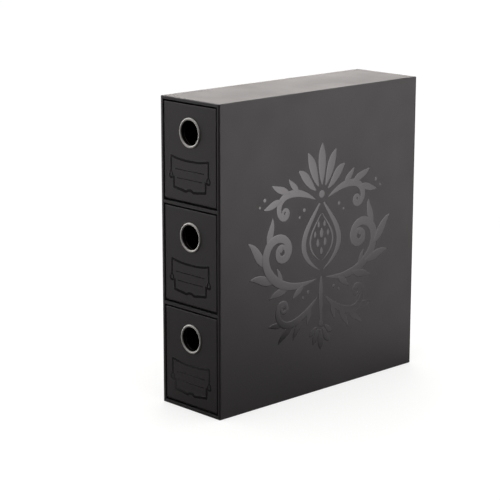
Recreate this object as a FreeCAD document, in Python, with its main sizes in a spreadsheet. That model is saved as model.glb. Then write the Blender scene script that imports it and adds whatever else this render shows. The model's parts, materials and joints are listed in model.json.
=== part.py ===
"""Card drawer box: a slipcase of wrapped greyboard with three drawers, one above another.

The box stands on its narrow base, as a ring binder does. X runs across the drawer fronts,
Y runs from the fronts (-Y) to the closed back (+Y) and Z is up. The origin is the centre of
the base. Every wall is a greyboard panel between an outer wrap and an inner lining, both of
black paper. Each drawer has a finger hole bound by a set metal eyelet and its washer.
"""

import FreeCAD, Part
import math
import os
import Sketcher

os.makedirs("parts", exist_ok=True)
doc = FreeCAD.newDocument("card_drawer_box")

# Driving dimensions in millimetres: name in the sheet, value, what it is.
DIMENSIONS = (
    ("case_width", 90.0, "case, across the drawer fronts"),
    ("case_depth", 301.0, "case, front to back"),
    ("case_height", 335.0, "case, base to top"),
    ("case_wall", 3.2, "finished wall: wrap, greyboard and lining"),
    ("paper", 0.3, "wrap or lining paper with its glue"),
    ("turn_in", 14.0, "margin of the wrap glued over an edge"),
    ("sheet_inset", 3.0, "base and back sheets stop this far from the edges"),
    ("edge_radius", 0.5, "roundness of paper pulled over a board's edge"),
    ("drawer_board", 2.2, "greyboard of the drawers' walls and bases"),
    ("front_board", 3.2, "greyboard of the drawers' fronts"),
    ("side_gap", 1.9, "air between a drawer and the bay, each side"),
    ("top_gap", 2.0, "air over a drawer"),
    ("floor_gap", 0.8, "running clearance under a drawer"),
    ("back_gap", 1.2, "air behind a closed drawer"),
    ("front_recess", 0.4, "drawer front behind the case's front edges"),
    ("fold_radius", 3.4, "roundness of the fold from drawer front to underside"),
    ("finger_radius", 13.1, "clear radius of the finger hole"),
    ("finger_height", 75.1, "finger hole's centre above the drawer's underside"),
    ("barrel_wall", 0.35, "metal of the eyelet's barrel"),
    ("barrel_gap", 0.1, "air around the barrel in the hole"),
    ("flange_radius", 16.1, "eyelet's front flange, outside"),
    ("flange_rise", 1.0, "how far the domed flange stands off the paper"),
    ("lip_radius", 14.8, "eyelet's rear lip, rolled over the washer"),
    ("lip_rise", 0.7, "how far the rolled lip stands off the washer"),
    ("washer_radius", 16.9, "washer, outside"),
    ("washer_thick", 0.4, "washer, sheet thickness"),
)
BAYS = ("lower", "middle", "upper")
SHELVES = ("lower", "upper")  # a shelf is the floor of the bay over it

sheet = doc.addObject("Spreadsheet::Sheet", "dims")
for row, (alias, value, meaning) in enumerate(DIMENSIONS, start=1):
    sheet.set(f"A{row}", meaning)
    sheet.set(f"B{row}", str(value))
    sheet.setAlias(f"B{row}", alias)
doc.recompute()

# Sizes that follow from the driving ones, as expressions in the sheet's names.
OVER = "1"  # cutters run this far past the faces that they open
PAPER = "dims.paper"
CASE_BOARD = "(dims.case_wall - 2 * dims.paper)"
HALF_WIDTH = "(dims.case_width / 2)"
HALF_DEPTH = "(dims.case_depth / 2)"
FIRST_FLOOR = "(dims.case_wall + dims.paper)"
BAY_WIDTH = "(dims.case_width - 2 * dims.case_wall)"
BAY_DEPTH = "(dims.case_depth - dims.case_wall - dims.paper)"
BAY_HEIGHT = f"((dims.case_height - {FIRST_FLOOR} - {len(BAYS)} * dims.case_wall) / {len(BAYS)})"
BOARD_FRONT = f"(dims.paper - {HALF_DEPTH})"
DRAWER_BOARD = "dims.drawer_board"
FRONT_BOARD = "dims.front_board"
DRAWER_WIDTH = f"({BAY_WIDTH} - 2 * dims.side_gap)"
DRAWER_LENGTH = f"({BAY_DEPTH} - dims.front_recess - dims.back_gap)"
DRAWER_HEIGHT = f"({BAY_HEIGHT} - dims.floor_gap - dims.top_gap)"
FRONT_STACK = "(dims.front_board + 2 * dims.paper)"
HOLE_RADIUS = "(dims.finger_radius + dims.barrel_wall + dims.barrel_gap)"
BARREL_RADIUS = "(dims.finger_radius + dims.barrel_wall)"
EYELET_LENGTH = f"({FRONT_STACK} + dims.washer_thick)"


def bay_floor(bay):
    """Height of a bay's paper floor; bay 0 is the lowest."""
    return f"({FIRST_FLOOR} + {bay} * ({BAY_HEIGHT} + dims.case_wall))"


def shifted(low, origin):
    """A corner given from an origin, as three expressions in the part's frame."""
    return tuple(f"{start} + {step}" for start, step in zip(origin, low))


def place(thing, low):
    """Binds a thing's place to three expressions."""
    for axis, expression in zip("xyz", low):
        thing.setExpression(f".Placement.Base.{axis}", expression)


def size(thing, lengths):
    """Binds a box's Length, Width and Height, which run along X, Y and Z."""
    for name, expression in zip(("Length", "Width", "Height"), lengths):
        thing.setExpression(name, expression)


def board(label, low, lengths):
    """A plain sawn panel of greyboard."""
    panel = doc.addObject("Part::Box", label)
    size(panel, lengths)
    place(panel, low)
    return panel


def new_body(label, origin=("0", "0", "0")):
    body = doc.addObject("PartDesign::Body", label)
    place(body, origin)
    return body


def box(body, name, low, lengths):
    """Adds a box to a body."""
    feature = body.newObject("PartDesign::AdditiveBox", name)
    size(feature, lengths)
    place(feature, low)
    doc.recompute()
    return feature


def check_cut(body, name, before):
    """A cut that removes nothing raises no error, so the volumes are compared."""
    doc.recompute()
    if not body.Shape.Volume < before:
        raise RuntimeError(f"{body.Label}: {name} cut nothing")


def cut_box(body, name, low, lengths):
    """Cuts a box out of a body."""
    before = body.Shape.Volume
    feature = body.newObject("PartDesign::SubtractiveBox", name)
    size(feature, lengths)
    place(feature, low)
    check_cut(body, name, before)
    return feature


def sketch_on(body, name, role, offset=("0", "0", "0")):
    """A sketch on one of the body's own origin planes, moved by an offset."""
    sketch = body.newObject("Sketcher::SketchObject", name)
    plane = next(f for f in body.Origin.OriginFeatures if f.Role == role)
    sketch.AttachmentSupport = (plane, [""])
    sketch.MapMode = "FlatFace"
    for axis, expression in zip("xyz", offset):
        sketch.setExpression(f".AttachmentOffset.Base.{axis}", expression)
    return sketch


def bind(sketch, name, kind, *where, to):
    """Adds a constraint whose value comes from an expression."""
    value = float(sketch.evalExpression(to))
    index = sketch.addConstraint(Sketcher.Constraint(kind, *where, value))
    sketch.renameConstraint(index, name)
    sketch.setExpression(f"Constraints.{name}", to)


def finger_hole(body, depth):
    """Bores the finger hole through the front wall only."""
    before = body.Shape.Volume
    sketch = sketch_on(body, "finger_circle", "XZ_Plane")
    sketch.addGeometry(Part.Circle(FreeCAD.Vector(0, 75, 0), FreeCAD.Vector(0, 0, 1), 13))
    sketch.addConstraint(Sketcher.Constraint("PointOnObject", 0, 3, -2))
    bind(sketch, "radius", "Radius", 0, to=HOLE_RADIUS)
    bind(sketch, "height", "DistanceY", -1, 1, 0, 3, to="dims.finger_height")
    hole = body.newObject("PartDesign::Pocket", "finger_hole")
    hole.Profile = sketch
    hole.setExpression("Length", depth)
    check_cut(body, "finger_hole", before)


def folded_profile(body, name, corner, length, height, radius):
    """Side view of a drawer: a rectangle whose lower front corner is folded round."""
    sketch = sketch_on(body, name, "YZ_Plane", (*corner, "0"))
    far, top, bend = 280.0, 100.0, 2.0  # a first shape, which the constraints then size
    points = [(bend, 0), (far, 0), (far, top), (0, top), (0, bend)]
    corners = [FreeCAD.Vector(u, v, 0) for u, v in points]
    lines = [Part.LineSegment(a, b) for a, b in zip(corners, corners[1:])]
    centre = FreeCAD.Vector(bend, bend, 0)
    circle = Part.Circle(centre, FreeCAD.Vector(0, 0, 1), bend)
    quarter = Part.ArcOfCircle(circle, math.pi, 1.5 * math.pi)
    sketch.addGeometry(lines + [quarter])
    bottom, back, lid, front, fold = range(5)
    for first, second in ((bottom, back), (back, lid), (lid, front)):
        sketch.addConstraint(Sketcher.Constraint("Coincident", first, 2, second, 1))
    sketch.addConstraint(Sketcher.Constraint("Tangent", front, 2, fold, 1))
    sketch.addConstraint(Sketcher.Constraint("Tangent", fold, 2, bottom, 1))
    sketch.addConstraint(Sketcher.Constraint("Horizontal", lid))
    sketch.addConstraint(Sketcher.Constraint("Vertical", back))
    for line, axis in ((bottom, -1), (front, -2)):
        for end in (1, 2):
            sketch.addConstraint(Sketcher.Constraint("PointOnObject", line, end, axis))
    bind(sketch, "fold", "Radius", fold, to=radius)
    bind(sketch, "length", "DistanceX", lid, 2, lid, 1, to=length)
    bind(sketch, "height", "DistanceY", back, 1, back, 2, to=height)
    return sketch


def round_edges(body, base, name, radius, wanted=lambda edge: True):
    """Rounds the edges of a feature that pass a test."""
    edges = [f"Edge{n}" for n, edge in enumerate(base.Shape.Edges, start=1) if wanted(edge)]
    feature = body.newObject("PartDesign::Fillet", name)
    feature.Base = (base, edges)
    feature.setExpression("Radius", radius)
    doc.recompute()
    return feature


def runs_across_front_foot(edge):
    """True for the edge along X that is lowest and nearest the front."""
    reach = edge.BoundBox
    return reach.XLength > 10 and reach.YMax < 1 and reach.ZMax < 1


def is_clear_of_the_fold(edge):
    """False for the two lines along X where the fold's arc begins and ends."""
    reach = edge.BoundBox
    return not (reach.XLength > 10 and reach.YMin < 4 and reach.ZMin < 4)


# --- Case -------------------------------------------------------------------------------


def case_boards():
    """Two sides, top, bottom, back and two shelves."""
    left = f"({PAPER} - {HALF_WIDTH})"
    inner_left = f"({left} + {CASE_BOARD})"
    inner_width = f"(dims.case_width - 2 * {PAPER} - 2 * {CASE_BOARD})"
    foot = f"(2 * {PAPER})"
    full_depth = f"(dims.case_depth - 3 * {PAPER})"
    full_height = f"(dims.case_height - 3 * {PAPER})"
    right = f"{HALF_WIDTH} - {PAPER} - {CASE_BOARD}"
    side = (CASE_BOARD, full_depth, full_height)
    board("left_side_board", (left, BOARD_FRONT, foot), side)
    board("right_side_board", (right, BOARD_FRONT, foot), side)
    flat = (inner_width, full_depth, CASE_BOARD)
    board("bottom_board", (inner_left, BOARD_FRONT, foot), flat)
    roof = f"dims.case_height - {PAPER} - {CASE_BOARD}"
    board("top_board", (inner_left, BOARD_FRONT, roof), flat)
    board(
        "back_board",
        (inner_left, f"{HALF_DEPTH} - 2 * {PAPER} - {CASE_BOARD}", f"{foot} + {CASE_BOARD}"),
        (inner_width, CASE_BOARD, f"{full_height} - 2 * {CASE_BOARD}"),
    )
    for bay, name in enumerate(SHELVES, start=1):
        board(
            f"{name}_shelf_board",
            (inner_left, BOARD_FRONT, f"{bay_floor(bay)} - {PAPER} - {CASE_BOARD}"),
            (inner_width, f"{full_depth} - {CASE_BOARD}", CASE_BOARD),
        )


def case_window():
    """What the wrap's margins leave bare under the case: low corner and lengths in plan."""
    low = (f"dims.turn_in - {HALF_WIDTH}", f"dims.turn_in - {HALF_DEPTH}")
    depth = f"dims.case_depth - {PAPER} - 2 * dims.turn_in"
    return low, ("dims.case_width - 2 * dims.turn_in", depth)


def outer_wrap():
    """One sheet over both sides and the top, its margins turned over every board edge."""
    body = new_body("outer_wrap")
    block = box(
        body,
        "outside",
        (f"-{HALF_WIDTH}", f"-{HALF_DEPTH}", PAPER),
        ("dims.case_width", f"dims.case_depth - {PAPER}", f"dims.case_height - {PAPER}"),
    )
    round_edges(body, block, "pulled_edges", "dims.edge_radius")
    cut_box(
        body,
        "boards",
        (f"{PAPER} - {HALF_WIDTH}", BOARD_FRONT, f"2 * {PAPER}"),
        (
            f"dims.case_width - 2 * {PAPER}",
            f"dims.case_depth - 3 * {PAPER}",
            f"dims.case_height - 3 * {PAPER}",
        ),
    )
    cut_box(
        body,
        "front_opening",
        (f"-{BAY_WIDTH} / 2", f"-{HALF_DEPTH} - {OVER}", FIRST_FLOOR),
        (BAY_WIDTH, f"2 * {OVER}", f"dims.case_height - {FIRST_FLOOR} - dims.case_wall"),
    )
    low, lengths = case_window()
    cut_box(body, "base_window", (*low, f"{PAPER} - {OVER}"), (*lengths, f"2 * {OVER}"))
    cut_box(
        body,
        "back_window",
        (low[0], f"{HALF_DEPTH} - {PAPER} - {OVER}", f"dims.turn_in + {PAPER}"),
        (lengths[0], f"2 * {OVER}", f"dims.case_height - {PAPER} - 2 * dims.turn_in"),
    )


def closing_sheets():
    """Sheets that close the base and the back, over the wrap's turned-in margins."""
    inset_left = f"dims.sheet_inset - {HALF_WIDTH}"
    inset_width = "dims.case_width - 2 * dims.sheet_inset"
    low, lengths = case_window()
    base = new_body("base_sheet")
    box(
        base,
        "sheet",
        (inset_left, f"dims.sheet_inset - {HALF_DEPTH}", "0"),
        (inset_width, "dims.case_depth - 2 * dims.sheet_inset", PAPER),
    )
    box(base, "between_margins", (*low, PAPER), (*lengths, PAPER))
    back = new_body("back_sheet")
    box(
        back,
        "sheet",
        (inset_left, f"{HALF_DEPTH} - {PAPER}", "dims.sheet_inset"),
        (inset_width, PAPER, "dims.case_height - 2 * dims.sheet_inset"),
    )
    box(
        back,
        "between_margins",
        (low[0], f"{HALF_DEPTH} - 2 * {PAPER}", f"dims.turn_in + {PAPER}"),
        (lengths[0], PAPER, f"dims.case_height - {PAPER} - 2 * dims.turn_in"),
    )


def bay_lining(bay, name):
    """Black paper inside one bay: floor, roof, two sides and back."""
    body = new_body(f"{name}_bay_lining")
    floor = bay_floor(bay)
    depth = f"({BAY_DEPTH} - {PAPER})"  # from behind the case's front edge to the lined back
    box(
        body,
        "paper",
        (f"-{BAY_WIDTH} / 2 - {PAPER}", BOARD_FRONT, f"{floor} - {PAPER}"),
        (f"{BAY_WIDTH} + 2 * {PAPER}", f"{depth} + {PAPER}", f"{BAY_HEIGHT} + 2 * {PAPER}"),
    )
    cut_box(
        body,
        "bay",
        (f"-{BAY_WIDTH} / 2", f"{BOARD_FRONT} - {OVER}", floor),
        (BAY_WIDTH, f"{depth} + {OVER}", BAY_HEIGHT),
    )


def shelf_edging(bay, name):
    """Paper strip over the front edge of the shelf that carries a bay."""
    body = new_body(f"{name}_shelf_edging")
    strip = box(
        body,
        "strip",
        (f"-{BAY_WIDTH} / 2", f"-{HALF_DEPTH}", f"{bay_floor(bay)} - dims.case_wall"),
        (BAY_WIDTH, PAPER, "dims.case_wall"),
    )
    front = -sheet.case_depth / 2
    round_edges(
        body,
        strip,
        "pulled_edges",
        f"0.8 * {PAPER}",
        lambda edge: edge.BoundBox.XLength > 10 and edge.BoundBox.YMax < front + 0.1,
    )


# --- Drawers, each in its own frame: origin at the middle of the front's lower edge -------

BOARD_WIDTH = f"({DRAWER_WIDTH} - 2 * {PAPER})"
BOARD_LENGTH = f"({DRAWER_LENGTH} - 2 * {PAPER})"
BOARD_HEIGHT = f"({DRAWER_HEIGHT} - 3 * {PAPER})"
BOARD_FOOT = f"(2 * {PAPER})"
BEHIND_FRONT = f"({PAPER} + {FRONT_BOARD})"
INNER_WIDTH = f"({BOARD_WIDTH} - 2 * {DRAWER_BOARD})"
INNER_LENGTH = f"({BOARD_LENGTH} - {FRONT_BOARD} - {DRAWER_BOARD})"


def drawer_origin(bay):
    return ("0", f"dims.front_recess - {HALF_DEPTH}", f"{bay_floor(bay)} + dims.floor_gap")


def drawer_boards(name, origin):
    """Base, back and two sides, butted together; the bored front is made apart."""
    half = f"-{BOARD_WIDTH} / 2"
    wall = (DRAWER_BOARD, INNER_LENGTH, BOARD_HEIGHT)
    board(f"{name}_left_board", shifted((half, BEHIND_FRONT, BOARD_FOOT), origin), wall)
    right = f"{BOARD_WIDTH} / 2 - {DRAWER_BOARD}"
    board(f"{name}_right_board", shifted((right, BEHIND_FRONT, BOARD_FOOT), origin), wall)
    back = (half, f"{DRAWER_LENGTH} - {PAPER} - {DRAWER_BOARD}", BOARD_FOOT)
    board(f"{name}_back_board", shifted(back, origin), (BOARD_WIDTH, DRAWER_BOARD, BOARD_HEIGHT))
    base = (f"{half} + {DRAWER_BOARD}", BEHIND_FRONT, BOARD_FOOT)
    board(f"{name}_base_board", shifted(base, origin), (INNER_WIDTH, INNER_LENGTH, DRAWER_BOARD))


def drawer_front_board(name, origin):
    """Front panel with the finger hole; its foot is rounded where the wrap folds under."""
    body = new_body(f"{name}_front_board", origin)
    panel = box(
        body,
        "panel",
        (f"-{BOARD_WIDTH} / 2", PAPER, BOARD_FOOT),
        (BOARD_WIDTH, FRONT_BOARD, BOARD_HEIGHT),
    )
    round_edges(body, panel, "foot", f"dims.fold_radius - {PAPER}", runs_across_front_foot)
    finger_hole(body, f"{FRONT_STACK} + {OVER}")


def drawer_wrap(name, origin):
    """Outer paper: four walls, turned over the rim and under the base."""
    body = new_body(f"{name}_wrap", origin)
    height = f"{DRAWER_HEIGHT} - {PAPER}"
    outside = folded_profile(
        body, "outside_profile", ("0", PAPER), DRAWER_LENGTH, height, "dims.fold_radius"
    )
    block = body.newObject("PartDesign::Pad", "outside")
    block.Profile = outside
    block.SideType = "Symmetric"
    block.setExpression("Length", DRAWER_WIDTH)
    doc.recompute()
    round_edges(body, block, "pulled_edges", "dims.edge_radius", is_clear_of_the_fold)
    before = body.Shape.Volume
    corner = (PAPER, BOARD_FOOT)
    inside = folded_profile(
        body, "inside_profile", corner, BOARD_LENGTH, BOARD_HEIGHT, f"dims.fold_radius - {PAPER}"
    )
    boards = body.newObject("PartDesign::Pocket", "boards")
    boards.Profile = inside
    boards.SideType = "Symmetric"
    boards.setExpression("Length", BOARD_WIDTH)
    check_cut(body, "boards", before)
    cut_box(
        body,
        "mouth",
        (f"{PAPER} - {INNER_WIDTH} / 2", f"{BEHIND_FRONT} + {PAPER}", f"{DRAWER_HEIGHT} - {OVER}"),
        (f"{INNER_WIDTH} - 2 * {PAPER}", f"{INNER_LENGTH} - 2 * {PAPER}", f"2 * {OVER}"),
    )
    low, lengths = drawer_window()
    cut_box(body, "base_window", (*low, f"{PAPER} - {OVER}"), (*lengths, f"2 * {OVER}"))
    finger_hole(body, f"{PAPER} + {OVER} / 2")


def drawer_window():
    """Plan of what the wrap's margins leave bare under a drawer."""
    low = (f"dims.turn_in - {DRAWER_WIDTH} / 2", "dims.turn_in")
    return low, (f"{DRAWER_WIDTH} - 2 * dims.turn_in", f"{DRAWER_LENGTH} - 2 * dims.turn_in")


def drawer_base_sheet(name, origin):
    """Sheet under the drawer, over the wrap's margins; the drawer slides on it."""
    body = new_body(f"{name}_base_sheet", origin)
    box(
        body,
        "sheet",
        (f"dims.sheet_inset - {DRAWER_WIDTH} / 2", "dims.sheet_inset", "0"),
        (
            f"{DRAWER_WIDTH} - 2 * dims.sheet_inset",
            f"{DRAWER_LENGTH} - 2 * dims.sheet_inset",
            PAPER,
        ),
    )
    low, lengths = drawer_window()
    box(body, "between_margins", (*low, PAPER), (*lengths, PAPER))


def drawer_lining(name, origin):
    """Paper inside the drawer: base and four walls, open at the top."""
    body = new_body(f"{name}_lining", origin)
    floor = f"({BOARD_FOOT} + {DRAWER_BOARD})"
    height = f"({BOARD_HEIGHT} - {DRAWER_BOARD})"
    box(
        body,
        "paper",
        (f"-{INNER_WIDTH} / 2", BEHIND_FRONT, floor),
        (INNER_WIDTH, INNER_LENGTH, height),
    )
    cut_box(
        body,
        "card_space",
        (f"{PAPER} - {INNER_WIDTH} / 2", f"{BEHIND_FRONT} + {PAPER}", f"{floor} + {PAPER}"),
        (f"{INNER_WIDTH} - 2 * {PAPER}", f"{INNER_LENGTH} - 2 * {PAPER}", f"{height} + {OVER}"),
    )
    finger_hole(body, f"{FRONT_STACK} + {OVER}")


def spun(body, sketch, name):
    """Turns a profile once round the body's Y axis."""
    ring = body.newObject("PartDesign::Revolution", name)
    ring.Profile = sketch
    ring.ReferenceAxis = (sketch, ["V_Axis"])
    ring.Angle = 360
    doc.recompute()
    return ring


def hole_origin(origin, behind="0"):
    """Centre of the finger hole, a distance behind the drawer's front face."""
    return shifted(("0", behind, "dims.finger_height"), origin)


def bulge(width, rise):
    """Radius of the arc that spans a width and rises this far over it."""
    return f"(({width}) ^ 2 / 4 + ({rise}) ^ 2) / (2 * ({rise}))"


def eyelet(name, origin):
    """Set eyelet: domed flange in front, barrel through the wall, lip rolled over behind."""
    body = new_body(f"{name}_eyelet", hole_origin(origin))
    sketch = sketch_on(body, "half_section", "XY_Plane")
    bore, barrel, flange, lip = 13.1, 13.45, 16.1, 14.8  # a first shape, as above
    dome, rear, roll = -1.4, 3.2, 3.9
    lines = [
        Part.LineSegment(FreeCAD.Vector(*a, 0), FreeCAD.Vector(*b, 0))
        for a, b in (
            ((bore, 0), (bore, rear)),
            ((lip, rear), (barrel, rear)),
            ((barrel, rear), (barrel, 0)),
            ((barrel, 0), (flange, 0)),
        )
    ]
    arcs = [
        Part.Arc(*(FreeCAD.Vector(*point, 0) for point in points))
        for points in (
            ((bore, rear), ((bore + lip) / 2, roll), (lip, rear)),
            ((flange, 0), ((bore + flange) / 2, dome), (bore, 0)),
        )
    ]
    sketch.addGeometry(lines + arcs)
    inner_wall, under_lip, outer_wall, under_flange, rolled, domed = range(6)
    add = sketch.addConstraint
    for first, end, second, start in (
        (under_lip, 2, outer_wall, 1),
        (outer_wall, 2, under_flange, 1),
        (inner_wall, 2, rolled, 2),
        (under_lip, 1, rolled, 1),
        (under_flange, 2, domed, 2),
        (inner_wall, 1, domed, 1),
    ):
        add(Sketcher.Constraint("Coincident", first, end, second, start))
    for wall in (inner_wall, outer_wall):
        add(Sketcher.Constraint("Vertical", wall))
    add(Sketcher.Constraint("Horizontal", under_lip))
    for line, end in ((inner_wall, 1), (under_flange, 1), (under_flange, 2)):
        add(Sketcher.Constraint("PointOnObject", line, end, -1))
    bind(sketch, "bore", "DistanceX", -1, 1, inner_wall, 1, to="dims.finger_radius")
    bind(sketch, "barrel", "DistanceX", -1, 1, under_flange, 1, to=BARREL_RADIUS)
    bind(sketch, "flange", "DistanceX", -1, 1, under_flange, 2, to="dims.flange_radius")
    bind(sketch, "lip", "DistanceX", -1, 1, under_lip, 1, to="dims.lip_radius")
    bind(sketch, "inner_length", "DistanceY", inner_wall, 1, inner_wall, 2, to=EYELET_LENGTH)
    bind(sketch, "outer_length", "DistanceY", outer_wall, 2, outer_wall, 1, to=EYELET_LENGTH)
    flange_width = "dims.flange_radius - dims.finger_radius"
    lip_width = "dims.lip_radius - dims.finger_radius"
    bind(sketch, "dome", "Radius", domed, to=bulge(flange_width, "dims.flange_rise"))
    bind(sketch, "roll", "Radius", rolled, to=bulge(lip_width, "dims.lip_rise"))
    spun(body, sketch, "ring")


def eyelet_washer(name, origin):
    """Flat ring inside the drawer, under the eyelet's rolled lip."""
    body = new_body(f"{name}_eyelet_washer", hole_origin(origin, FRONT_STACK))
    sketch = sketch_on(body, "half_section", "XY_Plane")
    inner, outer, thick = 13.55, 16.9, 0.4  # a first shape, as above
    points = [(inner, 0), (outer, 0), (outer, thick), (inner, thick)]
    corners = [FreeCAD.Vector(x, y, 0) for x, y in points]
    sketch.addGeometry([Part.LineSegment(corners[i - 1], corners[i]) for i in range(4)])
    for line in range(4):
        sketch.addConstraint(Sketcher.Constraint("Coincident", line, 2, (line + 1) % 4, 1))
    near, face, rim, far = range(4)
    for line in (near, rim):
        sketch.addConstraint(Sketcher.Constraint("Vertical", line))
    sketch.addConstraint(Sketcher.Constraint("Horizontal", far))
    for end in (1, 2):
        sketch.addConstraint(Sketcher.Constraint("PointOnObject", face, end, -1))
    bind(sketch, "inner", "DistanceX", -1, 1, face, 1, to=HOLE_RADIUS)
    bind(sketch, "outer", "DistanceX", -1, 1, face, 2, to="dims.washer_radius")
    bind(sketch, "thick", "DistanceY", rim, 1, rim, 2, to="dims.washer_thick")
    spun(body, sketch, "ring")


def drawer(bay, bay_name):
    name = f"{bay_name}_drawer"
    origin = drawer_origin(bay)
    drawer_boards(name, origin)
    drawer_front_board(name, origin)
    drawer_wrap(name, origin)
    drawer_base_sheet(name, origin)
    drawer_lining(name, origin)
    eyelet(name, origin)
    eyelet_washer(name, origin)


def write_parts():
    """Checks every object, then writes one STEP file for each sub-part."""
    doc.recompute()
    failed = [o.Label for o in doc.Objects if {"Invalid", "Error"} & set(o.State)]
    if failed:
        raise RuntimeError(f"failed objects: {failed}")
    parts = [o for o in doc.Objects if o.TypeId in ("PartDesign::Body", "Part::Box")]
    for part in parts:
        shape = part.Shape
        if shape.isNull() or not shape.isValid() or len(shape.Solids) != 1:
            raise RuntimeError(f"{part.Label} is not one valid solid")
    for part in parts:
        part.Shape.exportStep(f"parts/{part.Label}.step")
        print(f"{part.Label}: {part.Shape.Volume / 1000:.2f} cm3")
    print(len(parts), "parts")


case_boards()
outer_wrap()
closing_sheets()
for number, bay_name in enumerate(BAYS):
    bay_lining(number, bay_name)
for number, shelf_name in enumerate(SHELVES, start=1):
    shelf_edging(number, shelf_name)
for number, bay_name in enumerate(BAYS):
    drawer(number, bay_name)
write_parts()
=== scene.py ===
import json
import math
import bpy
import numpy as np
from mathutils import Matrix, Vector


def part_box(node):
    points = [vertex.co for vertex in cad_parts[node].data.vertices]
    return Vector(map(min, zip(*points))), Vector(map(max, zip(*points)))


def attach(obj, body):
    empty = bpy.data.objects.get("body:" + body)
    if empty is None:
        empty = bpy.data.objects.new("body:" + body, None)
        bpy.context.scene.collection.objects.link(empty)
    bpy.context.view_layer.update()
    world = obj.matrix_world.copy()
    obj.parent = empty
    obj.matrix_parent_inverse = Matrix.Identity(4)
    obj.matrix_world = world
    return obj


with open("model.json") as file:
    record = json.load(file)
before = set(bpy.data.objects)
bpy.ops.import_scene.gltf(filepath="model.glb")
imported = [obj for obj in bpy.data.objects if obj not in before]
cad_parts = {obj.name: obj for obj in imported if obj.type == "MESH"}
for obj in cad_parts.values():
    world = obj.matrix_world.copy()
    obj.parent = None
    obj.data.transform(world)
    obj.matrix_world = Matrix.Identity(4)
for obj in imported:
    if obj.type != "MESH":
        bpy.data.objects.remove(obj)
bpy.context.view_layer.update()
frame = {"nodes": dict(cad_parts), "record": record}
mm = 0.001
noiseSpan = (0.3, 0.7)  # most of a noise texture's values lie between these

# A card drawer box: black paper under matt film on greyboard, ornament and label frames in
# gloss varnish, nickel-plated eyelets.


def linearColour(hexColour):
    # sRGB hex to linear light: each channel goes through the display curve's inverse
    channels = [int(hexColour[i:i + 2], 16) / 255 for i in (1, 3, 5)]
    return [c / 12.92 if c <= 0.04045 else ((c + 0.055) / 1.055) ** 2.4 for c in channels] + [1.0]


def addNode(tree, kind, inputs, **settings):
    # adds a node, sets its options, and fills each input with a value or a link
    node = tree.nodes.new(kind)
    for name, value in settings.items():
        setattr(node, name, value)
    for name, value in inputs.items():
        if isinstance(value, bpy.types.NodeSocket):
            tree.links.new(value, node.inputs[name])
        else:
            node.inputs[name].default_value = value
    return node


def newMaterial(name, settings):
    # an empty material with one Principled shader, whose constant sockets come from settings
    material = bpy.data.materials.new(name)
    material.use_nodes = True
    tree = material.node_tree
    tree.nodes.clear()
    shader = addNode(tree, "ShaderNodeBsdfPrincipled", settings)
    addNode(tree, "ShaderNodeOutputMaterial", {"Surface": shader.outputs["BSDF"]})
    return material, tree, shader


laminate = {
    "colour": "#242020",
    "cloudColour": "#272323",  # the black ink is a little uneven under the film
    "burnished": "#262222",  # edges and corners, rubbed dense and smooth by hands and shelves
    "roughness": 0.56,
    "roughnessSwing": 0.025,
    "edgeRoughness": 0.3,
    "edgeWidth": 1.4 * mm,
    "leastReach": 0.3,  # share of that width which is burnished everywhere
    "edgeBreakup": 6 * mm,
    "cloudSize": 35 * mm,
    "grainSize": 0.7 * mm,  # real grain is about 0.1 mm; drawn coarser so that it shows
    "grainDepth": 0.004 * mm,
    "waveSize": 18 * mm,  # greyboard is never quite flat under its paper
    "waveDepth": 0.009 * mm,
    # paper pulled over board bends a little beyond the edge itself, most at the case's upright
    # edges: how far from the faces across x, y and z
    "cornerRadius": {"case": (2.0 * mm, 2.0 * mm, 0.7 * mm), "drawer": (0.5 * mm,) * 3},
}


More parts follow.
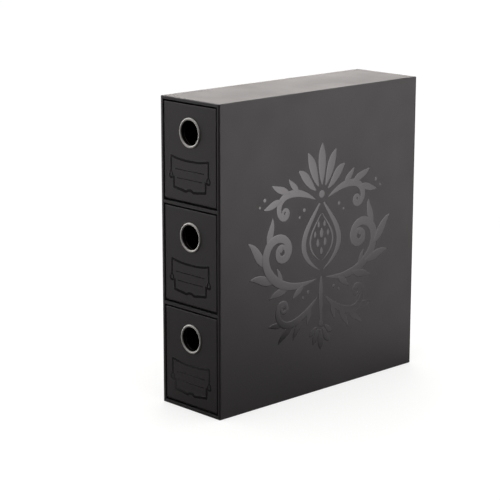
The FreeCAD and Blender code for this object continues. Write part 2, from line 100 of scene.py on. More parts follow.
def laminatedPaper(wrap, cornerRadius):
    # printed paper under matt polypropylene film, glued over greyboard: a dark, soft, even
    # reflection with faint waves, and edges burnished a little lighter and smoother
    look = laminate
    material, tree, shader = newMaterial(f"matt_laminated_paper_{wrap}", {"IOR": 1.5})
    place = addNode(tree, "ShaderNodeTexCoord", {}).outputs["Object"]
    cloud = addNode(tree, "ShaderNodeTexNoise", {
        "Vector": place, "Scale": 1 / look["cloudSize"], "Detail": 3.0}).outputs["Fac"]
    # distance to the nearest edge of the wrapped box: the middle one of the distances to its
    # three pairs of faces, because the smallest is to the face itself
    low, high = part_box(wrap)
    middle, half = (low + high) / 2, (high - low) / 2
    centred = addNode(tree, "ShaderNodeVectorMath", {0: place, 1: middle}, operation="SUBTRACT")
    out = addNode(tree, "ShaderNodeVectorMath", {0: centred.outputs["Vector"]}, operation="ABSOLUTE")
    depth = addNode(tree, "ShaderNodeVectorMath", {0: half, 1: out.outputs["Vector"]},
                    operation="SUBTRACT")
    x, y, z = addNode(tree, "ShaderNodeSeparateXYZ", {"Vector": depth.outputs["Vector"]}).outputs
    nearer = addNode(tree, "ShaderNodeMath", {0: x, 1: y}, operation="MINIMUM").outputs[0]
    farther = addNode(tree, "ShaderNodeMath", {0: x, 1: y}, operation="MAXIMUM").outputs[0]
    capped = addNode(tree, "ShaderNodeMath", {0: farther, 1: z}, operation="MINIMUM").outputs[0]
    edge = addNode(tree, "ShaderNodeMath", {0: nearer, 1: capped}, operation="MAXIMUM").outputs[0]
    patches = addNode(tree, "ShaderNodeTexNoise", {
        "Vector": place, "Scale": 1 / look["edgeBreakup"], "Detail": 4.0}).outputs["Fac"]
    reach = addNode(tree, "ShaderNodeMapRange", {
        "Value": patches, "From Min": noiseSpan[0], "From Max": noiseSpan[1],
        "To Min": look["leastReach"] * look["edgeWidth"],
        "To Max": look["edgeWidth"]}).outputs["Result"]
    worn = addNode(tree, "ShaderNodeMapRange", {
        "Value": edge, "From Min": 0.0, "From Max": reach, "To Min": 1.0, "To Max": 0.0},
        interpolation_type="SMOOTHSTEP").outputs["Result"]
    ink = addNode(tree, "ShaderNodeMix", {
        "Factor": cloud, "A": linearColour(look["colour"]), "B": linearColour(look["cloudColour"])},
        data_type="RGBA").outputs["Result"]
    colour = addNode(tree, "ShaderNodeMix", {
        "Factor": worn, "A": ink, "B": linearColour(look["burnished"])}, data_type="RGBA")
    tree.links.new(colour.outputs["Result"], shader.inputs["Base Color"])
    rough = addNode(tree, "ShaderNodeMapRange", {
        "Value": cloud, "From Min": noiseSpan[0], "From Max": noiseSpan[1],
        "To Min": look["roughness"] - look["roughnessSwing"],
        "To Max": look["roughness"] + look["roughnessSwing"]}).outputs["Result"]
    smoother = addNode(tree, "ShaderNodeMix", {"Factor": worn, "A": rough, "B": look["edgeRoughness"]})
    tree.links.new(smoother.outputs["Result"], shader.inputs["Roughness"])
    # within the corner radius the normal leans towards each face by the share of the radius
    # left to it, 1 - depth / radius; its own direction is made up to 1
    leans = addNode(tree, "ShaderNodeVectorMath", {
        0: depth.outputs["Vector"], 1: [-1 / r for r in cornerRadius], 2: (1.0, 1.0, 1.0)},
        operation="MULTIPLY_ADD")
    inReach = addNode(tree, "ShaderNodeVectorMath", {
        0: leans.outputs["Vector"], 1: (0.0, 0.0, 0.0)}, operation="MAXIMUM")
    ways = addNode(tree, "ShaderNodeVectorMath", {0: centred.outputs["Vector"]}, operation="SIGN")
    towards = addNode(tree, "ShaderNodeVectorMath", {
        0: inReach.outputs["Vector"], 1: ways.outputs["Vector"]}, operation="MULTIPLY").outputs["Vector"]
    facing = addNode(tree, "ShaderNodeNewGeometry", {}).outputs["Normal"]
    own = addNode(tree, "ShaderNodeVectorMath", {0: towards, 1: facing}, operation="DOT_PRODUCT")
    missing = addNode(tree, "ShaderNodeMath", {0: 1.0, 1: own.outputs["Value"]}, operation="SUBTRACT")
    made = addNode(tree, "ShaderNodeVectorMath", {
        0: facing, "Scale": missing.outputs[0]}, operation="SCALE")
    summed = addNode(tree, "ShaderNodeVectorMath", {
        0: towards, 1: made.outputs["Vector"]}, operation="ADD")
    turned = addNode(tree, "ShaderNodeVectorMath", {0: summed.outputs["Vector"]}, operation="NORMALIZE")
    # coarse waves first, fine grain over them; heights are in metres
    waves = addNode(tree, "ShaderNodeTexNoise", {
        "Vector": place, "Scale": 1 / look["waveSize"], "Detail": 2.0}).outputs["Fac"]
    grain = addNode(tree, "ShaderNodeTexNoise", {
        "Vector": place, "Scale": 1 / look["grainSize"], "Detail": 2.0}).outputs["Fac"]
    wavy = addNode(tree, "ShaderNodeBump", {
        "Height": waves, "Distance": look["waveDepth"], "Normal": turned.outputs["Vector"]})
    skin = addNode(tree, "ShaderNodeBump", {
        "Height": grain, "Distance": look["grainDepth"], "Normal": wavy.outputs["Normal"]})
    tree.links.new(skin.outputs["Normal"], shader.inputs["Normal"])
    return material


lining = {"colour": "#1c1b1b", "roughness": 0.8, "fibreSize": 0.8 * mm, "fibreDepth": 0.02 * mm}


def liningPaper():
    # dyed, uncoated black paper: dull, with a soft fibre surface
    look = lining
    material, tree, shader = newMaterial("dyed_black_paper", {
        "Base Color": linearColour(look["colour"]), "Roughness": look["roughness"], "IOR": 1.45})
    place = addNode(tree, "ShaderNodeTexCoord", {}).outputs["Object"]
    fibres = addNode(tree, "ShaderNodeTexNoise", {
        "Vector": place, "Scale": 1 / look["fibreSize"], "Detail": 4.0}).outputs["Fac"]
    bump = addNode(tree, "ShaderNodeBump", {"Height": fibres, "Distance": look["fibreDepth"]})
    tree.links.new(bump.outputs["Normal"], shader.inputs["Normal"])
    return material


pulp = {"dark": "#6f6a62", "light": "#8d877d", "roughness": 0.9, "fleckSize": 1.2 * mm}


def greyboard():
    # board pressed from waste paper: grey-brown with darker flecks
    look = pulp
    material, tree, shader = newMaterial("greyboard", {"Roughness": look["roughness"]})
    place = addNode(tree, "ShaderNodeTexCoord", {}).outputs["Object"]
    flecks = addNode(tree, "ShaderNodeTexNoise", {
        "Vector": place, "Scale": 1 / look["fleckSize"], "Detail": 5.0}).outputs["Fac"]
    colour = addNode(tree, "ShaderNodeMix", {
        "Factor": flecks, "A": linearColour(look["dark"]), "B": linearColour(look["light"])},
        data_type="RGBA")
    tree.links.new(colour.outputs["Result"], shader.inputs["Base Color"])
    return material


plating = {
    "colour": "#c4c2be",
    "roughness": 0.6,
    "roughnessSwing": 0.08,
    "bare": "#2c2a29",  # painted shade inside the barrel, in place of the plating's colour
    # how far behind the drawer's front the plating fades out into that painted shade, and in again for
    # the lip and the washer
    "fadesOut": (-0.6 * mm, 0.1 * mm),
    "fadesIn": (4.14 * mm, 4.19 * mm),
    "markSize": 1.5 * mm,  # press marks and handling
    "markDepth": 0.003 * mm,
}


def nickelPlate():
    # steel strip pressed to shape, then barrel-plated with satin nickel: a soft, warm grey sheen, with
    # painted shade inside the barrel
    look = plating
    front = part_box("lower_drawer_wrap")[0].y
    material, tree, shader = newMaterial("satin_nickel_plate", {"Metallic": 1.0})
    place = addNode(tree, "ShaderNodeTexCoord", {}).outputs["Object"]
    behind = addNode(tree, "ShaderNodeSeparateXYZ", {"Vector": place}).outputs["Y"]
    # painted shade between the two fades: the first one's share times what the second one leaves
    bare = 1.0
    for fade, share in (("fadesOut", (0.0, 1.0)), ("fadesIn", (1.0, 0.0))):
        part = addNode(tree, "ShaderNodeMapRange", {
            "Value": behind, "From Min": front + look[fade][0], "From Max": front + look[fade][1],
            "To Min": share[0], "To Max": share[1]}).outputs["Result"]
        bare = addNode(tree, "ShaderNodeMath", {0: bare, 1: part}, operation="MULTIPLY").outputs[0]
    # the plating's colour, darkened to painted shade inside the barrel
    colour = addNode(tree, "ShaderNodeMix", {
        "Factor": bare, "A": linearColour(look["colour"]), "B": linearColour(look["bare"])},
        data_type="RGBA")
    tree.links.new(colour.outputs["Result"], shader.inputs["Base Color"])
    marks = addNode(tree, "ShaderNodeTexNoise", {
        "Vector": place, "Scale": 1 / look["markSize"], "Detail": 3.0}).outputs["Fac"]
    rough = addNode(tree, "ShaderNodeMapRange", {
        "Value": marks, "From Min": noiseSpan[0], "From Max": noiseSpan[1],
        "To Min": look["roughness"], "To Max": look["roughness"] + look["roughnessSwing"]})
    tree.links.new(rough.outputs["Result"], shader.inputs["Roughness"])
    bump = addNode(tree, "ShaderNodeBump", {"Height": marks, "Distance": look["markDepth"]})
    tree.links.new(bump.outputs["Normal"], shader.inputs["Normal"])
    return material


varnish = {
    "colour": "#0c0a0a",
    "roughness": 0.16,
    "ior": 1.55,
    "peelSize": 2.5 * mm,  # the faint orange peel of varnish that set as it flowed
    "peelDepth": 0.004 * mm,
}


def glossVarnish():
    # UV-cured gloss varnish screen-printed over the matt film: a clear mirror over black
    look = varnish
    material, tree, shader = newMaterial("spot_gloss_varnish", {
        "Base Color": linearColour(look["colour"]), "Roughness": look["roughness"],
        "IOR": look["ior"]})
    place = addNode(tree, "ShaderNodeTexCoord", {}).outputs["Object"]
    peel = addNode(tree, "ShaderNodeTexNoise", {
        "Vector": place, "Scale": 1 / look["peelSize"], "Detail": 2.0}).outputs["Fac"]
    bump = addNode(tree, "ShaderNodeBump", {"Height": peel, "Distance": look["peelDepth"]})
    tree.links.new(bump.outputs["Normal"], shader.inputs["Normal"])
    return material


drawers = ("lower_drawer", "middle_drawer", "upper_drawer")


def dressNodes():
    # each node's slot names its finish; the wrap's finish knows the box that it covers
    finishes = {"lining_paper": liningPaper(), "greyboard": greyboard(), "eyelet_metal": nickelPlate()}
    corner = laminate["cornerRadius"]
    wraps = {"case": laminatedPaper("outer_wrap", corner["case"])}
    for body in drawers:
        wraps[body] = laminatedPaper(f"{body}_wrap", corner["drawer"])
    slotOf = {part["node"]: part["material_slot"] for part in frame["record"]["subparts"]}
    for name, node in frame["nodes"].items():
        body = next((b for b in drawers if name.startswith(b)), "case")
        finish = wraps[body] if slotOf[name] == "wrap_paper" else finishes[slotOf[name]]
        node.data.materials.clear()
        node.data.materials.append(finish)
    print("finishes on", len(frame["nodes"]), "frame nodes")


dressNodes()


# every varnished shape is a stroke: a line with a width along it and a very thin section
film = {
    "rise": 0.035 * mm,  # thickness of the varnish
    "sink": 0.02 * mm,  # how far its underside lies in the paper, so that no gap shows
    "step": 0.002 * mm,  # strokes that cross differ in height by this, so no faces coincide
    "levels": 11,
    "climb": 0.003 * mm,  # a stroke that winds over itself rises by this along its length
    "across": (1.0, 0.96, 0.8, 0.0, -0.8, -0.96, -1.0),  # places over the top, in half widths
    "height": (0.0, 0.7, 1.0, 1.0, 1.0, 0.7, 0.0),  # height there, in shares of the rise
    "thinnest": 0.08,  # mm, half width of a stroke's pointed end
}
varnishMaterial = glossVarnish()


def runningSum(values):
    # sum of the trapezoids up to each value, from nothing at the first
    return np.concatenate([[0], np.cumsum((values[1:] + values[:-1]) / 2)])


def bentLine(start, heading, bends, count):
    # heading is the running sum of the curl, in degrees per mm, and place the running sum of
    # the heading; each bend is (length, curl where it starts, curl where it ends)
    lengths = np.array([bend[0] for bend in bends], float)
    ends = np.cumsum(lengths)
    along = np.linspace(0, ends[-1], count)
    part = np.minimum(np.searchsorted(ends, along), len(bends) - 1)
    share = (along - (ends - lengths)[part]) / lengths[part]
    curls = np.array([bend[1:] for bend in bends], float)[part]
    curl = curls[:, 0] + (curls[:, 1] - curls[:, 0]) * share
    step = along[1]
    turn = np.radians(heading + runningSum(curl) * step)
    return np.stack([start[0] + runningSum(np.cos(turn)) * step,
                     start[1] + runningSum(np.sin(turn)) * step], axis=1)


blade = {
    "rise": 0.8,  # powers of its two sines: under 1, it is fuller than a plain sine
    "fall": 0.9,
    "swell": 0.42,  # share of the way along where it is widest
    "curl": (1.2, 0.6, 2.4),  # at the root, in the middle and, turned back, at the tip
}


def leafWidth(count, widest, swell, tail=0.0):
    # half width: a quarter sine up to the swell, then a quarter cosine down to the tail's share
    share = np.linspace(0, 1, count)
    rise = np.sin(np.clip(share / swell, 0, 1) * np.pi / 2) ** blade["rise"]
    fall = np.cos(np.clip((share - swell) / (1 - swell), 0, 1) * np.pi / 2) ** blade["fall"]
    return widest / 2 * np.where(share < swell, rise, tail + (1 - tail) * fall)


def headingOf(line, closed=False):
    # direction of the line at each point, in degrees; a closed line's ends see each other
    around = np.concatenate([line[-1:], line, line[:1]]) if closed else line
    slope = np.gradient(around, axis=0)
    turn = np.degrees(np.arctan2(slope[:, 1], slope[:, 0]))
    return turn[1:-1] if closed else turn


def filmStroke(line, halfWidth, closed=False, rim=1.0):
    # a flat-topped section carried along a line: each point is the line's, plus its side
    # direction times half the width times the place across, and lifted by the height there;
    # rim narrows the sloping edges to that share of their width
    look = film
    across = np.array(look["across"] + (-1.0, 1.0))
    across = np.where(across == 0, 0, np.sign(across) * (1 - (1 - np.abs(across)) * rim))
    share = np.linspace(0, 0 if closed else 1, len(line))
    crest = look["rise"] + look["climb"] * share
    if not closed:
        crest[[0, -1]] = 0  # the ends run down to the paper
    height = np.array(look["height"] + (0.0, 0.0)) * crest[:, None]
    height[:, -2:] = -look["sink"]
    wide = np.maximum(halfWidth, look["thinnest"])
    turn = np.radians(headingOf(line, closed))
    side = np.stack([-np.sin(turn), np.cos(turn)], axis=1) * wide[:, None]
    flat = (line[:, None, :] + side[:, None, :] * across[None, :, None]) * mm
    points = np.concatenate([flat, height[:, :, None]], axis=2).reshape(-1, 3)
    rings, spokes = len(line), len(across)
    ring = np.arange(rings if closed else rings - 1)[:, None]
    spoke = np.arange(spokes)[None, :]
    ahead, beside = (ring + 1) % rings, (spoke + 1) % spokes
    faces = np.stack([ring * spokes + spoke, ahead * spokes + spoke, ahead * spokes + beside,
                      ring * spokes + beside], axis=-1).reshape(-1, 4).tolist()
    if not closed:
        faces.append(list(range(spokes)))
        faces.append(list(range(rings * spokes - 1, (rings - 1) * spokes - 1, -1)))
    return points, faces


def dot(x, y, radius):
    # a round spot as a short stroke whose half width follows the circle
    count = 17
    share = np.sin(np.linspace(-1, 1, count) * np.pi / 2)
    line = np.stack([x + radius * share, np.full(count, float(y))], axis=1)
    return filmStroke(line, radius * np.sqrt(1 - share ** 2))


def mirrored(strokes):
    # each stroke and its mirror image across the upright axis, turned right side out again
    flipped = [(points * [-1, 1, 1], [face[::-1] for face in faces]) for points, faces in strokes]
    return strokes + flipped


def filmPiece(name, strokes, place, body):
    # place takes (across, up, out) to the frame; each stroke's top gets one of a few levels
    look = film
    points, faces, start = [], [], 0
    matrix = np.array(place, float)
    inward = np.linalg.det(matrix[:, :3]) < 0
    for number, (local, quads) in enumerate(strokes):
        lifted = local + (local[:, 2:] > 0) * np.array([0, 0, number % look["levels"] * look["step"]])
        points.append(lifted @ matrix[:, :3].T + matrix[:, 3])
        faces += [[i + start for i in (quad[::-1] if inward else quad)] for quad in quads]
        start += len(local)
    mesh = bpy.data.meshes.new(name)
    mesh.from_pydata(np.concatenate(points).tolist(), [], faces)
    mesh.polygons.foreach_set("use_smooth", np.ones(len(mesh.polygons), bool))
    mesh.materials.append(varnishMaterial)
    piece = bpy.data.objects.new(name, mesh)
    bpy.context.scene.collection.objects.link(piece)
    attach(piece, body)
    return piece


# a pomegranate among scrolls, the same on both big sides; millimetres from its centre
ornament = {
    "centreHeight": 165 * mm,
    "crown": {  # petals over the fruit: angle, length, width, bend
        "root": (0, 56), "gap": 10,
        "petals": ((90, 48, 12, 0), (118, 44, 11.5, -0.5), (146, 38, 10.5, -1.0)),
    },
    "tassel": {
        "root": (0, -88), "gap": 6,
        "petals": ((-90, 24, 8.5, 0), (-58, 20, 7.5, -1.0), (-28, 16, 6.5, -2.2)),
    },
    # scrolls: where they start, which way, their bends, and leaves as
    # (share of the way along, angle off the scroll, length, width)
    "greatScroll": {
        "start": (6, -36), "heading": -12, "width": 11.0, "ball": 3.9, "leafBend": 1,
        "bends": ((84, 0.25, 1.5), (58, 2.2, 3.6), (80, 4.0, 12.0)),
        "leaves": ((0.10, -40, 23, 7), (0.20, -37, 32, 9), (0.30, -34, 40, 10.5),
                   (0.40, -31, 42, 11), (0.49, -29, 34, 9.5), (0.245, 38, 22, 6.5)),
    },
    "upperScroll": {
        "start": (9, 52), "heading": 28, "width": 8.5, "ball": 3.0, "leafBend": -1,
        "bends": ((46, -0.1, -1.7), (30, -3.0, -5.4), (34, -7.5, -20)),
        "leaves": ((0.26, 42, 24, 7.4), (0.38, 38, 31, 8.6), (0.50, 34, 29, 8.2)),
    },
    "lowerScroll": {
        "start": (5, -56), "heading": -46, "width": 8.5, "ball": 3.1, "leafBend": 1,
        "bends": ((46, 0.3, 1.2), (36, 2.3, 4.4), (40, 5.8, 17)),
        "leaves": ((0.14, -44, 20, 6.4), (0.26, -39, 28, 7.8), (0.38, -35, 30, 8),
                   (0.50, -31, 23, 6.6)),
    },
    "petalSwell": 0.6,
    "scrollSwell": 0.34,
    "scrollTail": 0.27,
    "stem": {"top": -34, "foot": -90, "width": 7.0, "swell": 0.3, "tail": 0.3},
    "knots": ((0, 57, 4.4), (0, -88, 3.4)),  # at the roots of crown and tassel: x, y, radius
    # the fruit's two ovals: slim narrows them towards the top, and flare opens the very tip
    "outline": {"halfWidth": 30, "foot": -28, "height": 76, "line": 7.5, "slim": 0.28, "flare": 2.2},
    "core": {"halfWidth": 18.5, "foot": -17, "height": 53, "line": 3.0, "slim": 0.2, "flare": 0.0},
    "bellyPower": 0.85,  # under 1, the ovals are widest below their middle
    "ovalGap": 0.5,  # between an oval's ends and the middle line
    "ovalTail": 0.3,
    "seedWidth": 0.5,  # share of a seed's length
    # x, y, length
    "seeds": ((0, -6, 9), (5.6, 3.5, 10), (0, 14, 12), (10, 13.5, 8), (4.6, 24, 8)),
    # x, y, radius
    "berries": ((20, -49, 2.2), (28, -54, 1.7), (27, 43, 2.2), (34, 36, 1.6), (86, 62, 2.2),
                (93, 55, 1.6)),
}


def leaf(start, heading, length, widest, bend, swell=blade["swell"], count=22):
    # a blade that leaves along its heading, leans with the bend and turns back at its tip
    root, middle, tip = (bend * curl for curl in blade["curl"])
    bends = ((length / 2, root, middle), (length / 2, -middle, -tip))
    line = bentLine(start, heading, bends, count)
    return filmStroke(line, leafWidth(count, widest, swell))


def fan(look):
    # petals that start a gap away from one root, each along its own angle
    strokes = []
    for angle, length, widest, bend in look["petals"]:
        turn = math.radians(angle)
        start = (look["root"][0] + look["gap"] * math.cos(turn),
                 look["root"][1] + look["gap"] * math.sin(turn))
        strokes.append(leaf(start, angle, length, widest, bend, ornament["petalSwell"], 30))
    return strokes


def scroll(look):
    # a stroke that curls up into a ball, with leaves off its back
    count = 150
    line = bentLine(look["start"], look["heading"], look["bends"], count)
    headings = headingOf(line)
    width = leafWidth(count, look["width"], ornament["scrollSwell"], tail=ornament["scrollTail"])
    strokes = [filmStroke(line, width), dot(*line[-1], look["ball"])]
    for share, angle, length, widest in look["leaves"]:
        at = int(share * (count - 1))
        strokes.append(leaf(line[at], headings[at] + angle, length, widest, look["leafBend"]))
    return strokes


def fruit():
    # pointed ovals: half width goes by a sine that peaks low, and height runs evenly
    look = ornament
    count = 90
    share = np.linspace(0, 1, count)
    belly = np.sin(np.pi * share ** look["bellyPower"])
    strokes = []
    for oval in (look["outline"], look["core"]):
        half = (oval["halfWidth"] * belly * (1 - oval["slim"] * share)
                + oval["flare"] * share ** 2 + look["ovalGap"])
        line = np.stack([half, oval["foot"] + oval["height"] * share], axis=1)
        width = leafWidth(count, oval["line"], blade["swell"], tail=look["ovalTail"])
        strokes.append(filmStroke(line, width))
    for x, y, length in look["seeds"]:
        strokes.append(leaf((x, y - length / 2), 90, length, length * look["seedWidth"], 0, count=14))
    return strokes


def ornamentStrokes():
    look = ornament
    stem = look["stem"]
    count = 40
    line = np.stack([np.zeros(count), np.linspace(stem["top"], stem["foot"], count)], axis=1)
    strokes = [filmStroke(line, leafWidth(count, stem["width"], stem["swell"], tail=stem["tail"]))]
    strokes += [dot(*knot) for knot in look["knots"]]
    paired = fan(look["crown"])[1:] + fan(look["tassel"])[1:] + fruit()
    strokes += [fan(look["crown"])[0], fan(look["tassel"])[0]]
    for name in ("greatScroll", "upperScroll", "lowerScroll"):
        paired += scroll(look[name])
    paired += [dot(*berry) for berry in look["berries"]]
    return strokes + mirrored(paired)


def buildOrnaments():
    low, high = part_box("outer_wrap")
    strokes = ornamentStrokes()
    for name, face, outward in (("right", high.x, 1), ("left", low.x, -1)):
        place = ((0, 0, outward, face), (1, 0, 0, 0), (0, 1, 0, ornament["centreHeight"]))
        filmPiece(f"{name}_side_ornament", strokes, place, "case")
    print("ornament of", len(strokes), "strokes on both sides")


labelFrame = {  # mm, from the middle of the drawer's lower edge
    "middle": -1.1,  # the print sits a little to the left
    "halfWidth": 28.9,
    "topEdge": (45.3, 48.3),  # height of the hollow top edge at its middle and at its corners
    "hollow": 2.4,  # power of its curve
    "edgeWidth": 2.6,
    "rim": 0.35,  # narrow lines keep crisp edges
    "tassel": {"top": 33.0, "low": 25.0, "halfWidth": 3.4, "lineWidth": 2.7, "fullness": 0.7},
    # the foot from its middle: over a low hump, out to its corner and up beside the tassel
    "foot": ((0, 14.7), (2.4, 14.6), (5.8, 12.9), (24.6, 15.4), (24.8, 27.0)),
    "footWidth": 3.0,
    "rules": ((35.0, 22.4), (25.7, 19.8)),  # writing lines: height, half length
    "ruleWidth": 1.0,
    "spacing": {"side": 1.0, "foot": 0.6, "rule": 2.0},  # of the points along each
}


def evenLine(corners, spacing):
    # points at even steps along straight runs between corners, and two short steps at either end
    corners = np.array(corners, float)
    runs = np.linalg.norm(np.diff(corners, axis=0), axis=1)
    reach = np.concatenate([[0], np.cumsum(runs)])
    steps = np.linspace(0, reach[-1], max(3, int(reach[-1] / spacing)))
    short = np.array([0.05, 0.1])
    steps = np.sort(np.concatenate([steps, short, reach[-1] - short]))
    return np.stack([np.interp(steps, reach, corners[:, i]) for i in (0, 1)], axis=1)


def bothSides(half):
    # a line from the middle outwards, joined with its mirror image into one
    return np.concatenate([half[:0:-1] * [-1, 1], half])


def labelStrokes():
    look = labelFrame
    count = 40
    half, drop, spacing = look["halfWidth"], look["tassel"], look["spacing"]
    middle, corner = look["topEdge"]
    # the top edge hangs like a ribbon between its corners, then the sides run straight down into
    # the tassels; joined lines go without the short steps where they meet
    share = np.linspace(0, 1, count)
    top = np.stack([half * share, middle + (corner - middle) * share ** look["hollow"]], axis=1)
    side = evenLine(((half, corner), (half, drop["top"] - 1)), spacing["side"])
    edge = bothSides(np.concatenate([top, side[3:]]))
    foot = evenLine(look["foot"], spacing["foot"])
    foot = bothSides(np.concatenate([foot[:1], foot[3:]]))
    # the tassel is a drop, whose line is half as wide at its top: half width goes by the sine of
    # the turn times its fall
    turn = np.linspace(0, 2 * np.pi, count, endpoint=False)
    fall = (1 - np.cos(turn)) / 2
    tassel = np.stack([half + drop["halfWidth"] * np.sin(turn) * fall ** drop["fullness"],
                       drop["top"] + (drop["low"] - drop["top"]) * fall], axis=1)
    wide = drop["lineWidth"] / 2 * (0.5 + 0.5 * fall)
    strokes = mirrored([filmStroke(tassel, wide, closed=True, rim=look["rim"])])
    lines = [(edge, look["edgeWidth"]), (foot, look["footWidth"])]
    for height, reach in look["rules"]:
        rule = evenLine(((-reach, height), (reach, height)), spacing["rule"])
        lines.append((rule, look["ruleWidth"]))
    return strokes + [filmStroke(line, np.full(len(line), width / 2), rim=look["rim"])
                      for line, width in lines]


def buildLabelFrames():
    strokes = labelStrokes()
    for body in drawers:
        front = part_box(f"{body}_wrap")[0].y
        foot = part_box(f"{body}_base_sheet")[0].z
        place = ((1, 0, 0, labelFrame["middle"] * mm), (0, 0, -1, front), (0, 1, 0, foot))
        filmPiece(f"{body}_label_frame", strokes, place, body)
    print("label frames on three drawers")


buildOrnaments()
buildLabelFrames()


studio = {
    "white": "#ffffff",
    "bounceColour": "#8c8c8a",  # what the sweep sends back up to the part
    "sweepColour": "#fff9fc",  # its reflection, faintly rosy
    "floorColour": "#fafaf8",  # how the sweep looks
    "floorRadius": 8.0,
    "floorCorners": 64,
    "whiteNear": 0.62,  # how much of the floor's shadow the white background hides
    "whiteSpan": (0.2, 0.9),  # metres from the part: from that far on it hides more, then all
    "whiteLevel": 1.02,
    "lightBelow": 0.25,  # soft light from the horizon and below, then from straight above
    "lightAbove": 1.15,
    "lightSpan": (-0.1, 1.0),  # upward parts of the direction where those two hold
    "wall": 0.5,  # reflections of the room's walls
    # directions, cosines where a patch starts and where it is full, and its brightness there
    "patches": (
        ((0.90, 0.38, -0.22), 0.45, 0.97, 4.9),  # the lit end of the sweep
        ((-0.97, -0.15, 0.15), 0.70, 0.97, 2.5),  # a pale panel at the left
        ((-0.3, 0.2, 0.93), 0.5, 1.0, 0.5),  # the ceiling
    ),
    "shades": (
        ((0.3, 0.95, 0.0), 0.8, 0.93, 0.62),  # beside the lit end, where less light falls
        ((0.70, -0.71, 0.05), 0.12, 0.62, 0.97),  # the dark side of the room, towards the viewer
        ((-0.70, -0.67, -0.23), 0.86, 0.97, 0.85),  # a dark screen beside it
    ),
    # the floor's reflection, painted light that no lamp casts, brightens along these two ways, in metres
    # from its middle, and much sooner along the second
    "sweepWays": ((0.0, 1.0, 0.0), (-1.8, -3.1, 0.0)),
    "sweepDark": -0.05,
    "sweepBright": 0.86,
    # painted pools of light on the sweep, seen only in reflections: where, how far each reaches, how
    # bright
    "glows": (
        ((-0.06, -0.21, 0.0), 0.12, 0.08),  # just before the drawers
        ((0.14, 0.27, 0.0), 0.16, 1.0),  # beside the far end
    ),
}


def roomLight(tree, way):
    # brightness of a reflected direction: the walls' level, plus the patches, each by a smooth
    # step of the cosine between the direction and the patch's, then dimmed likewise by the shades
    look = studio
    unit = addNode(tree, "ShaderNodeVectorMath", {0: way}, operation="NORMALIZE").outputs["Vector"]
    level = look["wall"]
    for towards, start, full, bright in look["patches"]:
        near = addNode(tree, "ShaderNodeVectorMath", {
            0: unit, 1: Vector(towards).normalized()}, operation="DOT_PRODUCT").outputs["Value"]
        patch = addNode(tree, "ShaderNodeMapRange", {
            "Value": near, "From Min": start, "From Max": full, "To Min": 0.0, "To Max": bright},
            interpolation_type="SMOOTHSTEP").outputs["Result"]
        level = addNode(tree, "ShaderNodeMath", {0: level, 1: patch}, operation="ADD").outputs[0]
    for towards, start, full, share in look["shades"]:
        near = addNode(tree, "ShaderNodeVectorMath", {
            0: unit, 1: Vector(towards).normalized()}, operation="DOT_PRODUCT").outputs["Value"]
        left = addNode(tree, "ShaderNodeMapRange", {
            "Value": near, "From Min": start, "From Max": full, "To Min": 1.0, "To Max": 1 - share},
            interpolation_type="SMOOTHSTEP").outputs["Result"]
        level = addNode(tree, "ShaderNodeMath", {0: level, 1: left}, operation="MULTIPLY").outputs[0]
    return level


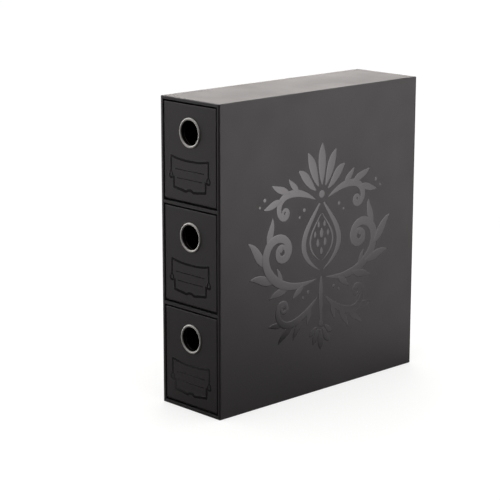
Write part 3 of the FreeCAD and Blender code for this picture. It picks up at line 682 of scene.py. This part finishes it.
def buildFloor():
    # a flat disc: radius times the cosine and sine of the turn
    look = studio
    turn = np.linspace(0, 2 * np.pi, look["floorCorners"], endpoint=False)
    rim = np.stack([np.cos(turn), np.sin(turn), 0 * turn], axis=1) * look["floorRadius"]
    mesh = bpy.data.meshes.new("studio_floor")
    mesh.from_pydata(rim.tolist(), [], [list(range(len(rim)))])
    floor = bpy.data.objects.new("studio_floor", mesh)
    bpy.context.scene.collection.objects.link(floor)
    material, tree, shader = newMaterial("seamless_paper", {"Roughness": 0.9})
    ray = addNode(tree, "ShaderNodeLightPath", {})
    paper = addNode(tree, "ShaderNodeMix", {
        "Factor": ray.outputs["Is Camera Ray"], "A": linearColour(look["bounceColour"]),
        "B": linearColour(look["floorColour"])}, data_type="RGBA")
    tree.links.new(paper.outputs["Result"], shader.inputs["Base Color"])
    place = addNode(tree, "ShaderNodeTexCoord", {}).outputs["Object"]
    away = addNode(tree, "ShaderNodeVectorMath", {0: place}, operation="LENGTH").outputs["Value"]
    hidden = addNode(tree, "ShaderNodeMapRange", {
        "Value": away, "From Min": look["whiteSpan"][0], "From Max": look["whiteSpan"][1],
        "To Min": look["whiteNear"], "To Max": 1.0}).outputs["Result"]
    seen = addNode(tree, "ShaderNodeMath", {
        0: ray.outputs["Is Camera Ray"], 1: hidden}, operation="MULTIPLY").outputs[0]
    white = addNode(tree, "ShaderNodeEmission", {
        "Color": linearColour(look["white"]), "Strength": look["whiteLevel"]}).outputs["Emission"]
    plain = addNode(tree, "ShaderNodeMixShader", {0: seen, 1: shader.outputs["BSDF"], 2: white})
    along = [addNode(tree, "ShaderNodeVectorMath", {0: place, 1: towards},
                     operation="DOT_PRODUCT").outputs["Value"] for towards in look["sweepWays"]]
    farther = addNode(tree, "ShaderNodeMath", {0: along[0], 1: along[1]}, operation="MAXIMUM")
    lit = addNode(tree, "ShaderNodeMapRange", {
        "Value": farther.outputs[0], "From Min": look["sweepDark"], "From Max": look["sweepBright"],
        "To Min": 0.0, "To Max": 1.0}, interpolation_type="SMOOTHSTEP").outputs["Result"]
    level = addNode(tree, "ShaderNodeMath", {
        0: lit, 1: roomLight(tree, place)}, operation="MULTIPLY").outputs[0]
    for centre, reach, bright in look["glows"]:
        off = addNode(tree, "ShaderNodeVectorMath", {0: place, 1: centre}, operation="DISTANCE")
        glow = addNode(tree, "ShaderNodeMapRange", {
            "Value": off.outputs["Value"], "From Min": 0.0, "From Max": reach, "To Min": bright,
            "To Max": 0.0}, interpolation_type="SMOOTHSTEP").outputs["Result"]
        level = addNode(tree, "ShaderNodeMath", {0: level, 1: glow}, operation="ADD").outputs[0]
    # the floor as reflections see it: painted light, an emission and not lit by the lamps
    mirrorSees = addNode(tree, "ShaderNodeEmission", {
        "Color": linearColour(look["sweepColour"]), "Strength": level}).outputs["Emission"]
    both = addNode(tree, "ShaderNodeMixShader", {
        0: ray.outputs["Is Glossy Ray"], 1: plain.outputs["Shader"], 2: mirrorSees})
    output = next(node for node in tree.nodes if node.type == "OUTPUT_MATERIAL")
    tree.links.new(both.outputs["Shader"], output.inputs["Surface"])
    mesh.materials.append(material)
    print("floor laid")


def buildWorld():
    look = studio
    world = bpy.data.worlds.new("studio")
    world.use_nodes = True
    tree = world.node_tree
    tree.nodes.clear()
    white = linearColour(look["white"])
    ray = addNode(tree, "ShaderNodeLightPath", {})
    way = addNode(tree, "ShaderNodeTexCoord", {}).outputs["Generated"]
    split = addNode(tree, "ShaderNodeSeparateXYZ", {"Vector": way})
    soft = addNode(tree, "ShaderNodeMapRange", {
        "Value": split.outputs["Z"],
        "From Min": look["lightSpan"][0], "From Max": look["lightSpan"][1],
        "To Min": look["lightBelow"], "To Max": look["lightAbove"]}).outputs["Result"]
    diffuse = addNode(tree, "ShaderNodeBackground", {"Color": white, "Strength": soft})
    mirrorSees = addNode(tree, "ShaderNodeBackground", {
        "Color": white, "Strength": roomLight(tree, way)})
    seen = addNode(tree, "ShaderNodeBackground", {"Color": white, "Strength": 1.0})
    room = addNode(tree, "ShaderNodeMixShader", {
        0: ray.outputs["Is Glossy Ray"], 1: diffuse.outputs["Background"],
        2: mirrorSees.outputs["Background"]})
    whole = addNode(tree, "ShaderNodeMixShader", {
        0: ray.outputs["Is Camera Ray"], 1: room.outputs["Shader"], 2: seen.outputs["Background"]})
    addNode(tree, "ShaderNodeOutputWorld", {"Surface": whole.outputs["Shader"]})
    bpy.context.scene.world = world


lamps = {  # metres and watts
    "overhead": {"place": (0.2, -0.2, 1.6), "size": 1.4, "power": 10.0, "colour": "#ffffff"},
    "behind": {"place": (-1.5, 1.4, 0.75), "size": 0.9, "power": 12.7, "colour": "#fff8f4"},
}


def buildLamps():
    aim = Vector((0, 0, 0.17))  # the middle of the box
    for name, lamp in lamps.items():
        data = bpy.data.lights.new(name, "AREA")
        data.shape = "SQUARE"
        data.size = lamp["size"]
        data.energy = lamp["power"]
        data.color = linearColour(lamp["colour"])[:3]
        light = bpy.data.objects.new(name, data)
        light.location = lamp["place"]
        light.rotation_euler = (aim - light.location).to_track_quat("-Z", "Y").to_euler()
        light.visible_camera = False
        bpy.context.scene.collection.objects.link(light)
    print("room and lamps lit")


viewpoint = {  # metres, degrees and, for the lens, mm
    "azimuth": 46.369,  # round from the drawer fronts
    "elevation": 13.561,
    "roll": 0.065,
    "distance": 1.969,
    "right": -0.0464,
    "up": 0.1477,
    "lens": 125.84,
    "reach": 30,  # nothing farther off is drawn
}


def buildCamera():
    # the eye's own axes turned by azimuth, elevation and roll, then moved along them
    view = viewpoint
    turn, tilt, roll = (math.radians(view[k]) for k in ("azimuth", "elevation", "roll"))
    back = Vector((math.sin(turn) * math.cos(tilt), -math.cos(turn) * math.cos(tilt), math.sin(tilt)))
    level = Vector((math.cos(turn), math.sin(turn), 0))
    upright = back.cross(level)
    right = math.cos(roll) * level + math.sin(roll) * upright
    up = math.cos(roll) * upright - math.sin(roll) * level
    data = bpy.data.cameras.new("camera")
    data.lens = view["lens"]
    data.clip_end = view["reach"]
    camera = bpy.data.objects.new("camera", data)
    camera.matrix_world = Matrix((right, up, back)).transposed().to_4x4()
    camera.location = back * view["distance"] + right * view["right"] + up * view["up"]
    bpy.context.scene.collection.objects.link(camera)
    bpy.context.scene.camera = camera


buildFloor()
buildWorld()
buildLamps()
buildCamera()
bpy.context.scene.view_settings.view_transform = "Standard"
